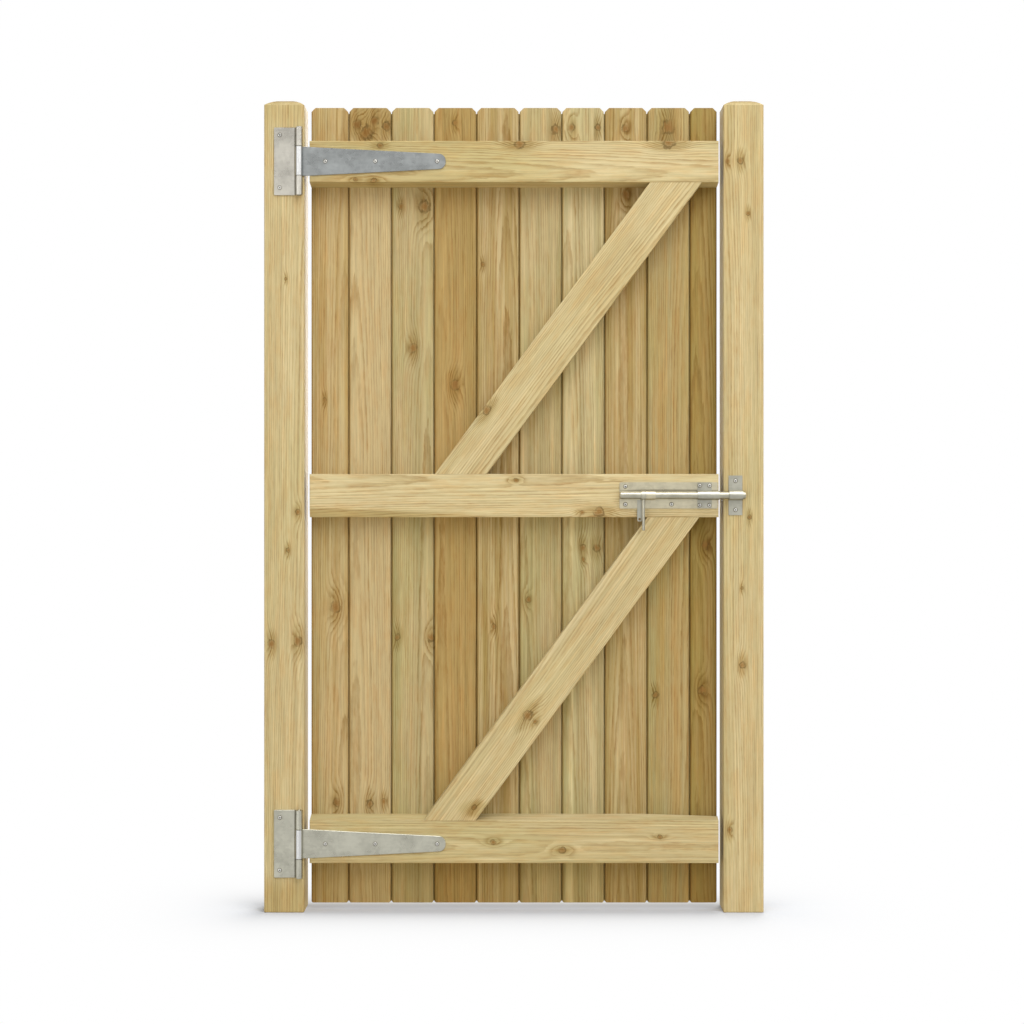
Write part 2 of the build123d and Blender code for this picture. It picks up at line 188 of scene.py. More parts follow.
class GateFixingSettings(bpy.types.PropertyGroup):
    """Screws of the ironmongery and nails of the boards."""

    head_radius: FloatProperty(
        name="Screw head radius", description="Radius of every screw head",
        default=3.8 * MM, unit="LENGTH")
    shank_radius: FloatProperty(
        name="Screw shank radius", description="Radius below the head",
        default=2.3 * MM, unit="LENGTH")
    head_depth: FloatProperty(
        name="Head depth", description="Depth of a countersunk head",
        default=2.0 * MM, unit="LENGTH")
    dome: FloatProperty(
        name="Dome", description="Height of a countersunk head above the sheet",
        default=0.7 * MM, unit="LENGTH")
    pan_height: FloatProperty(
        name="Pan height", description="Height of a pan head above the sheet",
        default=1.9 * MM, unit="LENGTH")
    recess_width: FloatProperty(
        name="Recess width", description="Width of one arm of the cross recess",
        default=1.1 * MM, unit="LENGTH")
    recess_length: FloatProperty(
        name="Recess length", description="Length of one arm of the cross recess",
        default=4.8 * MM, unit="LENGTH")
    recess_depth: FloatProperty(
        name="Recess depth", description="Depth of the cross recess",
        default=1.2 * MM, unit="LENGTH")
    nail_radius: FloatProperty(
        name="Nail head radius", description="Radius of a nail head",
        default=3.0 * MM, unit="LENGTH")
    nail_height: FloatProperty(
        name="Nail head height", description="Height of a nail head above the board",
        default=0.9 * MM, unit="LENGTH")
    nail_edge: FloatProperty(
        name="Nail edge distance", description="From a board's edge to its nails",
        default=20 * MM, unit="LENGTH")
    nail_stagger: FloatProperty(
        name="Nail stagger", description="From a rail's middle line up to one nail and down to the other",
        default=12 * MM, unit="LENGTH")
    sides: IntProperty(
        name="Sides", description="Sides of a screw head",
        default=24, min=8)


# Small helpers for node trees

# A colour mix node's own sockets, by their place, because its other kinds have sockets of the same names
MIX_FIRST, MIX_SECOND, MIX_RESULT = 6, 7, 2


class Tree:
    """A node tree, with a short way to add each kind of node that the finishes use."""

    def __init__(self, tree):
        self.tree = tree
        self.column = 0

    def add(self, kind, **settings):
        """A new node of that kind, right of the last one."""
        node = self.tree.nodes.new(kind)
        node.location = (190 * self.column, 0)
        self.column += 1
        for name, value in settings.items():
            setattr(node, name, value)
        return node

    def put(self, socket, value):
        """Links a socket's value to the socket, or sets a plain one."""
        if isinstance(value, bpy.types.NodeSocket):
            self.tree.links.new(value, socket)
        elif socket.type == "RGBA" and len(value) == 3:
            socket.default_value = (*value, 1.0)
        else:
            socket.default_value = value

    def fill(self, node, **values):
        """Puts each value into the socket of its name, with spaces for the underscores."""
        for name, value in values.items():
            self.put(node.inputs[name.replace("_", " ")], value)
        return node

    def feed(self, node, values):
        """Puts the values into the node's first sockets, in their order."""
        for socket, value in zip(node.inputs, values):
            self.put(socket, value)
        return node

    def maths(self, operation, *values):
        """The result of a Math node."""
        return self.feed(self.add("ShaderNodeMath", operation=operation), values).outputs["Value"]

    def vector(self, operation, *values):
        """The result of a Vector Math node, which is a number for a length or a dot product."""
        node = self.feed(self.add("ShaderNodeVectorMath", operation=operation), values)
        return node.outputs["Value" if operation in ("LENGTH", "DOT_PRODUCT") else "Vector"]

    def noise(self, vector, scale, detail=2.0, roughness=0.5):
        """Soft noise from 0 to 1, with a scale of its own on each axis, in waves a metre."""
        node = self.add("ShaderNodeTexNoise")
        self.fill(node, Vector=self.vector("MULTIPLY", vector, scale), Scale=1.0,
                  Detail=detail, Roughness=roughness)
        return node.outputs["Fac"]

    def span(self, value, low, high, to_low=0.0, to_high=1.0):
        """value from low to high, eased and clamped, as to_low to to_high."""
        node = self.add("ShaderNodeMapRange", interpolation_type="SMOOTHSTEP")
        self.fill(node, Value=value, From_Min=low, From_Max=high, To_Min=to_low, To_Max=to_high)
        return node.outputs["Result"]

    def mix(self, share, first, second, blend="MIX"):
        """The first colour, and by that share the second one."""
        node = self.add("ShaderNodeMix", data_type="RGBA", blend_type=blend)
        self.put(node.inputs["Factor"], share)
        self.put(node.inputs[MIX_FIRST], first)
        self.put(node.inputs[MIX_SECOND], second)
        return node.outputs[MIX_RESULT]


NUMBER = "NodeSocketFloat"
VECTOR = "NodeSocketVector"
COLOUR = "NodeSocketColor"


def new_group(name, inputs, outputs):
    """An empty shader node group with the named sockets, its tree, input node and output node."""
    group = bpy.data.node_groups.new(name, "ShaderNodeTree")
    for label, kind in inputs:
        group.interface.new_socket(name=label, in_out="INPUT", socket_type=kind)
    for label, kind in outputs:
        group.interface.new_socket(name=label, in_out="OUTPUT", socket_type=kind)
    tree = Tree(group)
    return group, tree, tree.add("NodeGroupInput").outputs, tree.add("NodeGroupOutput").inputs


# Shared effects of the timber

# How far a knot pushes the rings, and masks of its core, its rim and the dark wood round it
KNOT_MARKS = ("Push", "Core", "Rim", "Halo")

# A knot's oval and the longer one in which the grain flows round it, as shares of across, deep and along
KNOT_OVAL = (1.0, 0.0, 0.85)
FLOW_OVAL = (1.0, 0.0, 0.42)


def branch_knot_group():
    """One branch through the timber: it pushes the growth rings out and leaves a knot with a dark rim."""
    marks = [(mark, NUMBER) for mark in KNOT_MARKS]
    group, t, given, result = new_group(
        "branch_knot", [("Vector", VECTOR), ("Centre", VECTOR), ("Radius", NUMBER)] + marks, marks)
    offset = t.vector("SUBTRACT", given["Vector"], given["Centre"])
    broad = t.noise(given["Vector"], (48, 48, 48))
    uneven = t.noise(given["Vector"], (120, 120, 90))
    ragged = t.noise(given["Vector"], (260, 260, 160), 3, 0.7)

    # The distance from the knot's middle as a share of its radius, with an outline that wanders
    share = t.maths("DIVIDE", t.vector("LENGTH", t.vector("MULTIPLY", offset, KNOT_OVAL)), given["Radius"])
    for wander, reach, inwards in ((broad, 0.8, 0.45), (uneven, 1.3, 0.7), (ragged, 0.8, 0.4)):
        share = t.maths("ADD", share, t.maths("MULTIPLY_ADD", wander, reach, -inwards))

    # The rings bulge most at the knot, and the bulge fades along the grain
    flow = t.maths("DIVIDE", t.vector("LENGTH", t.vector("MULTIPLY", offset, FLOW_OVAL)), given["Radius"])
    flow = t.maths("ADD", flow, t.maths("MULTIPLY_ADD", broad, 0.6, -0.3))
    wide = t.maths("DIVIDE", flow, 2.1)
    bulge = t.maths("EXPONENT", t.maths("MULTIPLY", t.maths("MULTIPLY", wide, wide), -1.0))
    push = t.maths("MULTIPLY", t.maths("MULTIPLY", given["Radius"], 1.25), bulge)

    # The branch has small rings of its own, and a rim of bark that breaks off in places
    whorl = t.maths("MULTIPLY_ADD", t.maths("SINE", t.maths("MULTIPLY", share, 19.0)), 0.10, 0.90)
    core = t.maths("MULTIPLY", t.span(share, 0.0, 1.3, 1.0, 0.0), whorl)
    edge = t.maths("ABSOLUTE", t.maths("SUBTRACT", share, 0.95))
    rim = t.maths("MULTIPLY", t.span(edge, 0.0, 0.42, 1.0, 0.0), t.span(broad, 0.30, 0.60))

    t.put(result["Push"], t.maths("ADD", given["Push"], push))
    t.put(result["Core"], t.maths("MAXIMUM", given["Core"], core))
    t.put(result["Rim"], t.maths("MAXIMUM", given["Rim"], rim))
    t.put(result["Halo"], t.maths("MAXIMUM", given["Halo"], t.span(flow, 0.8, 2.8, 1.0, 0.0)))
    return group


# How much the rings grow or shrink along the log, in metres a metre
LOG_TAPER = 0.009


def growth_rings_group():
    """Growth rings round the pith, with fine fibres and slow streaks along the grain."""
    group, t, given, result = new_group(
        "growth_rings",
        [("Vector", VECTOR), ("Pith", VECTOR), ("Ring width", NUMBER), ("Push", NUMBER), ("Seed", NUMBER)],
        [("Late wood", NUMBER), ("Ring tone", NUMBER), ("Fibre", NUMBER), ("Streak", NUMBER)])

    # Each seed is cut from its own place in the noise
    shift = t.add("ShaderNodeCombineXYZ")
    t.fill(shift, X=given["Seed"], Y=t.maths("MULTIPLY", given["Seed"], 1.7),
           Z=t.maths("MULTIPLY", given["Seed"], 2.9))
    place = t.vector("ADD", given["Vector"], shift.outputs["Vector"])

    def wander(scale, detail, reach):
        """A bend to either side, by half the reach at most."""
        return t.maths("MULTIPLY_ADD", t.noise(place, scale, detail), reach, -reach / 2)

    # The distance from the pith, bent by the log's taper, its curves, its fibres and its knots
    offset = t.vector("SUBTRACT", given["Vector"], given["Pith"])
    away = t.vector("LENGTH", t.vector("MULTIPLY", offset, (1.0, 1.0, 0.0)))
    axes = t.add("ShaderNodeSeparateXYZ")
    t.fill(axes, Vector=given["Vector"])
    taper = t.maths("MULTIPLY", axes.outputs["Z"], LOG_TAPER)
    for bend in (taper, wander((3, 3, 0.8), 1, 0.018), wander((15, 15, 2.4), 2, 0.005),
                 wander((260, 260, 28), 2, 0.0020), given["Push"]):
        away = t.maths("ADD", away, bend)

    # Each year darkens slowly to its late wood and ends at once
    years = t.maths("DIVIDE", away, given["Ring width"])
    part = t.maths("FRACT", years)
    late = t.maths("MULTIPLY", t.span(part, 0.25, 0.88), t.span(part, 0.88, 1.0, 1.0, 0.0))
    year = t.add("ShaderNodeTexWhiteNoise", noise_dimensions="1D")
    t.fill(year, W=t.maths("ADD", t.maths("FLOOR", years), given["Seed"]))
    patch = t.noise(place, (110, 110, 26), 3, 0.6)

    t.put(result["Ring tone"], year.outputs["Value"])
    t.put(result["Late wood"], t.maths("MULTIPLY", late, t.span(patch, 0.3, 0.7, 0.45, 1.0)))
    t.put(result["Fibre"], t.noise(place, (260, 260, 6), 5, 0.8))
    t.put(result["Streak"], t.noise(place, (60, 60, 0.9), 4, 0.66))
    return group


# What the wood's colour is multiplied by, where each of these is strongest
TINTS = {
    "late wood": (0.62, 0.50, 0.34),
    "blush": (0.99, 0.91, 0.84),
    "green": (0.80, 0.93, 0.72),
    "halo": (0.70, 0.62, 0.44),
    "end grain": (0.62, 0.54, 0.42),
    "stain_and_shade": (0.80, 0.75, 0.60),
    "joint": (0.72, 0.62, 0.42),
}


def treated_pine_group():
    """Colour, roughness and relief of pressure treated pine, from its rings, streaks and knots."""
    colours = ["Light", "Dark", "Knot", "Bark"]
    masks = ["Late wood", "Ring tone", "Fibre", "Streak", "Core", "Rim", "Halo", "End grain", "Green",
             "Weather", "Joint"]
    group, t, given, result = new_group(
        "treated_pine",
        [("Vector", VECTOR)] + [(c, COLOUR) for c in colours] + [(m, NUMBER) for m in masks],
        [("Color", COLOUR), ("Roughness", NUMBER), ("Height", NUMBER)])

    def tinted(base, name, mask):
        """The base colour, with the tint of that name where the mask is."""
        return t.mix(mask, base, TINTS[name], "MULTIPLY")

    # Clear wood: two tones in streaks, late wood that is darker in some years, a blush and a green cast
    colour = t.mix(t.span(given["Streak"], 0.32, 0.68), given["Light"], given["Dark"])
    late = t.maths("MULTIPLY", given["Late wood"], t.maths("MULTIPLY_ADD", given["Ring tone"], 0.55, 0.32))
    late = t.maths("MULTIPLY", late, t.maths("MULTIPLY_ADD", given["Halo"], 0.8, 1.0))
    colour = tinted(colour, "late wood", late)
    blush = t.noise(given["Vector"], (75, 75, 14), 3, 0.65)
    colour = tinted(colour, "blush", t.span(blush, 0.42, 0.68))
    cloud = t.noise(given["Vector"], (9, 9, 2.2), 3, 0.6)
    colour = tinted(colour, "green", t.maths("MULTIPLY", t.span(cloud, 0.42, 0.66), given["Green"]))

    # Knots
    colour = tinted(colour, "halo", t.maths("MULTIPLY", given["Halo"], 0.7))
    colour = t.mix(t.maths("MULTIPLY", given["Core"], 0.9), colour, given["Knot"])
    colour = t.mix(t.maths("MULTIPLY", given["Rim"], 0.65), colour, given["Bark"])

    # Fibres, the darker spots, some of them painted shade, and the dark joints
    speck = t.maths("MULTIPLY_ADD", given["Fibre"], 1.0, 0.52)
    shade = t.add("ShaderNodeCombineColor")
    t.fill(shade, Red=speck, Green=speck, Blue=speck)
    colour = t.mix(1.0, colour, shade.outputs["Color"], "MULTIPLY")
    colour = tinted(colour, "end grain", t.maths("MULTIPLY", given["End grain"], 0.7))
    colour = tinted(colour, "stain_and_shade", given["Weather"])
    colour = tinted(colour, "joint", given["Joint"])

    t.put(result["Color"], colour)
    t.put(result["Roughness"], t.maths("MULTIPLY_ADD", given["Fibre"], 0.2, 0.52))
    ridge = t.maths("MULTIPLY_ADD", given["Late wood"], 0.45, given["Fibre"])
    t.put(result["Height"], t.maths("SUBTRACT", ridge, t.maths("MULTIPLY", given["Rim"], 0.6)))
    return group


# Shared effects of the zinc, and stains

def zinc_coat_group():
    """Crystals, clouds and handling marks of a zinc coat."""
    group, t, given, result = new_group(
        "zinc_coat", [("Vector", VECTOR), ("Spangle", NUMBER)],
        [("Tone", NUMBER), ("Roughness", NUMBER), ("Height", NUMBER)])
    cells = t.add("ShaderNodeTexVoronoi", feature="F1")
    t.fill(cells, Vector=given["Vector"], Scale=t.maths("DIVIDE", 1.0, given["Spangle"]), Randomness=1.0)
    facet = t.add("ShaderNodeSeparateColor")
    t.fill(facet, Color=cells.outputs["Color"])
    cloud = t.noise(given["Vector"], (22, 22, 22))
    rub = t.noise(given["Vector"], (40, 300, 300), 2, 0.6)
    tone = t.maths("MULTIPLY_ADD", facet.outputs["Red"], 0.15, t.maths("MULTIPLY", cloud, 0.9))
    tone = t.maths("MULTIPLY_ADD", rub, 0.25, tone)
    t.put(result["Tone"], t.maths("SUBTRACT", tone, 0.18))
    t.put(result["Roughness"], t.maths("MULTIPLY_ADD", facet.outputs["Green"], 0.10,
                                       t.maths("MULTIPLY", cloud, 0.22)))
    t.put(result["Height"], t.noise(given["Vector"], (45, 45, 45), 1))
    return group


def oval_spot_group():
    """One oval spot on the gate's face, added to those before it; the spots are real stains, painted shade
    and painted highlights.
    """
    group, t, given, result = new_group(
        "oval_spot",
        [("Vector", VECTOR), ("Centre", VECTOR), ("Size", VECTOR), ("Strength", NUMBER),
         ("Softness", NUMBER), ("Stain", NUMBER)],
        [("Stain", NUMBER)])
    offset = t.vector("SUBTRACT", given["Vector"], given["Centre"])
    share = t.vector("DIVIDE", t.vector("MULTIPLY", offset, (1.0, 0.0, 1.0)), given["Size"])
    mask = t.span(t.vector("LENGTH", share), t.maths("SUBTRACT", 1.05, given["Softness"]), 1.1, 1.0, 0.0)
    t.put(result["Stain"], t.maths("MAXIMUM", given["Stain"], t.maths("MULTIPLY", mask, given["Strength"])))
    return group


GROUP_MAKERS = {"branch_knot": branch_knot_group, "growth_rings": growth_rings_group,
                "treated_pine": treated_pine_group, "zinc_coat": zinc_coat_group,
                "oval_spot": oval_spot_group}


def shared_group(name):
    """The node group of that name, made once."""
    return bpy.data.node_groups.get(name) or GROUP_MAKERS[name]()


def new_material(name):
    """A material with a Principled shader, its tree and that shader."""
    material = bpy.data.materials.new(name)
    material.use_nodes = True
    return material, Tree(material.node_tree), material.node_tree.nodes["Principled BSDF"]


# An oval spot on the gate's face, used for real stains, for painted shade and for painted highlights: its
# middle, half its width and half its height in millimetres
Stain = namedtuple("Stain", "across up half_width half_height strength")

# How much of a spot's oval fades: the timber's stains and painted shade are soft all over, the painted shade
# and highlights on the zinc have an edge
STAIN_AND_SHADE_SOFTNESS = 0.6
PAINTED_LIGHT_SOFTNESS = 0.3


def spots_mask(t, where, spots, softness):
    """Mask of all the spots: real stains, painted shade and painted highlights alike."""
    mask = 0.0
    for spot in spots:
        node = t.add("ShaderNodeGroup", node_tree=shared_group("oval_spot"))
        t.fill(node, Vector=where, Centre=(spot.across * MM, 0, spot.up * MM),
               Size=(spot.half_width * MM, 1.0, spot.half_height * MM),
               Strength=spot.strength, Softness=softness, Stain=mask)
        mask = node.outputs["Stain"]
    return mask


def dress(obj, material):
    """Gives every face of an object that material."""
    obj.data.materials.clear()
    obj.data.materials.append(material)
    for face in obj.data.polygons:
        face.material_index = 0


# Timber

# Two tones, the share of green, the pith's place across and behind the middle of the stick,
# and the knots (across, up, radius), all in millimetres on the gate's face
Stick = namedtuple("Stick", "light dark green pith knots")

STICKS = {
    "hinge_post": Stick("cream", "sand", 0.15, (64, 30), [
        (31, 899, 5), (9, 813, 4), (31, 609, 8), (-28, 603, 7), (4, 1422, 3)]),
    "latch_post": Stick("cream", "sand", 0.15, (-66, 26), [
        (1024, 1687, 6), (995, 1686, 4), (1041, 1569, 4), (1044, 887, 4), (1027, 728, 3),
        (1028, 556, 6), (1000, 185, 5)]),
    "top_rail": Stick("cream", "sand", 0.25, (24, 46), [
        (529, 1724, 9), (863, 1726, 10), (201, 1644, 5), (160, 1645, 4), (215, 1721, 5)]),
    "middle_rail": Stick("cream", "cream", 0.05, (-34, 40), [(707, 898, 9), (668, 898, 4), (520, 970, 4)]),
    "bottom_rail": Stick("cream", "sand", 0.25, (18, 52), [(624, 140, 6), (469, 158, 5), (843, 170, 4)]),
    "upper_brace": Stick("cream", "sand", 0.10, (56, 44), [(455, 1128, 8)]),
    "lower_brace": Stick("cream", "sand", 0.10, (-60, 44), [(547, 443, 9), (563, 428, 4), (427, 236, 5)]),
    "board_01": Stick("straw", "honey", 0.25, (30, 44), [(112, 684, 10), (114, 241, 7), (87, 1153, 4)]),
    "board_02": Stick("straw", "straw", 0.05, (-36, 52), [
        (182, 1758, 13), (160, 1776, 8), (227, 1772, 8), (200, 1784, 8), (189, 238, 7), (221, 244, 5)]),
    "board_03": Stick("straw", "olive", 0.45, (30, 40), [
        (313, 1591, 11), (259, 1591, 5), (287, 1270, 8), (252, 615, 6), (328, 613, 7)]),
    "board_04": Stick("honey", "tan", 0.15, (-34, 36), [(382, 1187, 9), (382, 1780, 5)]),
    "board_05": Stick("straw", "tan", 0.20, (16, 48), [(470, 640, 5), (445, 1460, 4)]),
    "board_06": Stick("straw", "olive", 0.40, (-42, 42), [(610, 1765, 8), (548, 700, 5)]),
    "board_07": Stick("cream", "olive", 0.35, (-38, 46), [
        (647, 1769, 7), (706, 1769, 6), (672, 818, 6), (703, 817, 7), (673, 792, 4)]),
    "board_08": Stick("straw", "tan", 0.25, (-10, 38), [(768, 1768, 7), (769, 1618, 8)]),
    "board_09": Stick("olive", "honey", 0.40, (47, 50), [(864, 1770, 12), (836, 484, 6)]),
    # Its tan and umber tones are partly painted shade, the shade beside the latch post
    "board_10": Stick("tan", "umber", 0.30, (-15, 44), [(949, 823, 8), (942, 495, 8)]),
}

# Darker places of the timber, as spots. Every board is painted darker below the bottom rail, as the shade
# under that rail, and the wane along the middle rail's lower edge has a band of painted shade; the other
# spots darken the wood where they lie.
BOARD_FOOT_SHADE = Stain(515, 0, 1500, 160, 1.0)
STAINS_AND_SHADE = {
    "hinge_post": [Stain(0, 0, 200, 90, 0.8), Stain(0, 1850, 200, 110, 0.5)],
    "latch_post": [Stain(1031, 1850, 200, 500, 0.35)],
    "top_rail": [Stain(280, 1680, 420, 120, 0.55)],
    # Painted shade on the wane along its lower edge
    "middle_rail": [Stain(40, 890, 460, 20, 0.9)],
    "bottom_rail": [Stain(150, 120, 300, 40, 0.4)],
    "upper_brace": [Stain(700, 1450, 150, 120, 0.3)],
    "lower_brace": [Stain(430, 232, 45, 24, 0.8)],
    "board_02": [BOARD_FOOT_SHADE, Stain(190, 1790, 75, 80, 1.0)],
}

# How far from a board's long edge the dirt of its joint reaches
JOINT_DIRT = 5.5 * MM

# Width of a brace's face
BRACE_FACE = 94 * MM

# Where in the noise the first stick is cut from, and how far on the next one is
FIRST_SEED = 1.0
SEED_STEP = 3.7


def middle(node):
    """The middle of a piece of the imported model."""
    low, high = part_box(node)
    return (low + high) / 2


def brace_lean(node):
    """A brace's angle from upright. Its ends are cut level, so its box is wider than its run by its face's
    width on the slant, and a few rounds from a first guess settle the angle."""
    low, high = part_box(node)
    size = high - low
    lean = math.radians(30)
    for _ in range(20):
        lean = math.atan((size.x - BRACE_FACE / math.cos(lean)) / size.z)
    return lean


def grain_lean(node):
    """The angle of a stick's grain from upright, towards +X."""
    if node.endswith("rail"):
        return math.radians(90)
    if node.endswith("brace"):
        return brace_lean(node)
    return 0.0


def knot_marks(t, knots, along, centre, lean):
    """What all the knots of a stick do to it, as sockets or as numbers where there is none."""
    marks = dict.fromkeys(KNOT_MARKS, 0.0)
    for across, up, radius in knots:
        dx, dz = across * MM - centre.x, up * MM - centre.z
        spot = (dx * math.cos(lean) - dz * math.sin(lean), 0, dx * math.sin(lean) + dz * math.cos(lean))
        knot = t.add("ShaderNodeGroup", node_tree=shared_group("branch_knot"))
        t.fill(knot, Vector=along, Centre=spot, Radius=radius * MM, **marks)
        marks = {name: knot.outputs[name] for name in marks}
    return marks


def joint_dirt(t, node, along):
    """Mask of the dirt along both edges of a board. Other timber has no joints."""
    if not node.startswith("board"):
        return 0.0
    low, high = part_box(node)
    edge = (high.x - low.x) / 2
    axes = t.add("ShaderNodeSeparateXYZ")
    t.fill(axes, Vector=along)
    return t.span(t.maths("ABSOLUTE", axes.outputs["X"]), edge - JOINT_DIRT, edge)


def timber_material(node, settings, seed):
    """Pine sawn from one log: rings round its own pith, its own tones, and its knots where they show."""
    stick = STICKS[node]
    lean = grain_lean(node)
    centre = middle(node)
    material, t, shader = new_material(f"pine_{node}")
    where = t.add("ShaderNodeTexCoord").outputs
    place = t.add("ShaderNodeMapping", vector_type="TEXTURE")
    t.fill(place, Vector=where["Object"], Location=centre, Rotation=(0, lean, 0))
    along = place.outputs["Vector"]
    marks = knot_marks(t, stick.knots, along, centre, lean)
    rings = t.add("ShaderNodeGroup", node_tree=shared_group("growth_rings"))
    t.fill(rings, Vector=along, Pith=(stick.pith[0] * MM, stick.pith[1] * MM, 0),
           Ring_width=settings.ring_width, Push=marks["Push"], Seed=seed)
    facing = t.vector("DOT_PRODUCT", where["Normal"], (math.sin(lean), 0, math.cos(lean)))
    end_grain = t.span(t.maths("ABSOLUTE", facing), 0.8, 0.95)
    # Darker spots: painted shade below the bottom rail and on the middle rail's wane, and the spots listed
    # for each stick
    stain_and_shade = spots_mask(t, where["Object"], STAINS_AND_SHADE.get(node, [BOARD_FOOT_SHADE]), STAIN_AND_SHADE_SOFTNESS)
    pine = t.add("ShaderNodeGroup", node_tree=shared_group("treated_pine"))
    t.fill(pine, Vector=along, Light=getattr(settings, stick.light), Dark=getattr(settings, stick.dark),
           Knot=settings.knot, Bark=settings.bark, Green=stick.green, End_grain=end_grain, Weather=stain_and_shade,
           Joint=joint_dirt(t, node, along), Core=marks["Core"], Rim=marks["Rim"], Halo=marks["Halo"],
           Late_wood=rings.outputs["Late wood"], Ring_tone=rings.outputs["Ring tone"],
           Fibre=rings.outputs["Fibre"], Streak=rings.outputs["Streak"])
    relief = t.add("ShaderNodeBump")
    t.fill(relief, Strength=0.5, Distance=settings.grain_depth, Height=pine.outputs["Height"])
    t.put(shader.inputs["Base Color"], pine.outputs["Color"])
    t.put(shader.inputs["Roughness"], pine.outputs["Roughness"])
    t.put(shader.inputs["Normal"], relief.outputs["Normal"])
    shader.inputs["Specular IOR Level"].default_value = 0.12
    return material


def finish_sticks(names):
    """Gives each named piece of timber a material of its own."""
    settings = bpy.context.scene.gate_timber
    order = list(STICKS)
    for name in names:
        seed = FIRST_SEED + SEED_STEP * order.index(name)
        dress(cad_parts[name], timber_material(name, settings, seed))


# Ironmongery

# Painted shade round the screws, in the hinges' groove and seams and above the rod, a painted highlight on
# the strap's knuckle, and painted black shade in a screw's recess
SHADE_TONE = paint(86, 78, 58)
HIGHLIGHT_TONE = paint(204, 204, 202)
RECESS_SHADE = (0.06, 0.055, 0.05)

# What a sheet's colour is multiplied by in its darkest clouds
CLOUDED = 0.74

# Radius in millimetres of the painted shade round a screw, and its strength
SCREW_SHADE_RADIUS = 5.3
SCREW_SHADE_STRENGTH = 0.85


def screw_shade_spots(places):
    """Spots of painted shade round screws, from the screws' places across and up."""
    return [Stain(across, up, SCREW_SHADE_RADIUS, SCREW_SHADE_RADIUS, SCREW_SHADE_STRENGTH) for across, up in places]


def zinc_material(name, colour, spangle, roughness, relief_depth=0.05 * MM, shaded_recess=False, shade_spots=(), highlights=()):
    """Zinc on steel: crystals and clouds in its tone, and a roughness that wanders with them. On a screw,
    the faces of its recess are painted black as shade. Spots of painted shade are dark and dull, and spots
    of painted highlight are bright."""
    material, t, shader = new_material(name)
    shader.inputs["Metallic"].default_value = 1.0
    where = t.add("ShaderNodeTexCoord").outputs["Object"]
    coat = t.add("ShaderNodeGroup", node_tree=shared_group("zinc_coat"))
    t.fill(coat, Vector=where, Spangle=spangle)
    darker = [CLOUDED * channel for channel in colour]
    tint = t.mix(t.span(coat.outputs["Tone"], 0.15, 0.75), darker, colour)
    if highlights:
        # Painted highlight: these spots are bright
        tint = t.mix(spots_mask(t, where, highlights, PAINTED_LIGHT_SOFTNESS), tint, HIGHLIGHT_TONE)
    if shaded_recess:
        # Painted shade: the faces of a screw's recess are black
        tint = t.mix(t.add("ShaderNodeAttribute", attribute_name="shaded_recess").outputs["Fac"], tint, RECESS_SHADE)
    if shade_spots:
        # Painted shade: these spots are dark and lose their metal
        shade_mask = spots_mask(t, where, shade_spots, PAINTED_LIGHT_SOFTNESS)
        tint = t.mix(shade_mask, tint, SHADE_TONE)
        t.put(shader.inputs["Metallic"], t.maths("SUBTRACT", 1.0, shade_mask))
    t.put(shader.inputs["Base Color"], tint)
    t.put(shader.inputs["Roughness"], t.maths("ADD", coat.outputs["Roughness"], roughness))
    relief = t.add("ShaderNodeBump")
    t.fill(relief, Strength=0.4, Distance=relief_depth, Height=coat.outputs["Height"])
    t.put(shader.inputs["Normal"], relief.outputs["Normal"])
    return material


# Modelling helpers

def deselect_all():
    """Leaves edit mode and selects nothing."""
    if bpy.context.object and bpy.context.object.mode != "OBJECT":
        bpy.ops.object.mode_set(mode="OBJECT")
    bpy.ops.object.select_all(action="DESELECT")


def cut_with(target, cutter):
    """Takes the cutter's shape out of the target, and removes the cutter."""
    cut = target.modifiers.new("cut", "BOOLEAN")
    cut.operation = "DIFFERENCE"
    cut.solver = "EXACT"
    cut.object = cutter
    deselect_all()
    bpy.context.view_layer.objects.active = target
    target.select_set(True)
    bpy.ops.object.modifier_apply(modifier=cut.name)
    bpy.data.objects.remove(cutter)


def round_head(name, sides, foot_radius, foot_depth, head_radius, rise, shoulder):
    """A head that faces +Z: it widens from its foot to a rim at height 0, then rises, rounded at the top."""
    deselect_all()
    bpy.ops.mesh.primitive_circle_add(vertices=sides, radius=foot_radius, fill_type="NGON",
                                      location=(0, 0, -foot_depth))
    head = bpy.context.object
    head.name = name
    bpy.ops.object.transform_apply(location=True)
    bpy.ops.object.mode_set(mode="EDIT")
    bpy.ops.mesh.select_all(action="SELECT")
    bpy.ops.mesh.extrude_region_move(TRANSFORM_OT_translate={"value": (0, 0, foot_depth)})
    widen = head_radius / foot_radius
    bpy.ops.transform.resize(value=(widen, widen, 1), center_override=(0, 0, 0))
    bpy.ops.mesh.extrude_region_move(TRANSFORM_OT_translate={"value": (0, 0, rise)})
    bpy.ops.mesh.bevel(offset=shoulder, segments=3, affect="EDGES")
    bpy.ops.mesh.select_all(action="SELECT")
    bpy.ops.mesh.normals_make_consistent(inside=False)
    bpy.ops.object.mode_set(mode="OBJECT")
    return head


def cross_recess(head, settings, top):
    """Sinks a cross recess into a screw head whose top is at height top, and marks its faces for painted
    shade.
    """
    for turn in (0, math.pi / 2):
        deselect_all()
        bpy.ops.mesh.primitive_cube_add(size=1, location=(0, 0, top), rotation=(0, 0, turn))
        arm = bpy.context.object
        arm.scale = (settings.recess_length, settings.recess_width, 2 * settings.recess_depth)
        bpy.ops.object.transform_apply(location=True, rotation=True, scale=True)
        cut_with(head, arm)
    shaded_recess = head.data.attributes.new("shaded_recess", "FLOAT", "FACE")
    reach = settings.recess_length / 2 + 0.05 * MM
    for face in head.data.polygons:
        depth = (top - face.center.z) / settings.recess_depth
        shaded_recess.data[face.index].value = float(face.center.xy.length < reach and 0.2 < depth < 1.1)


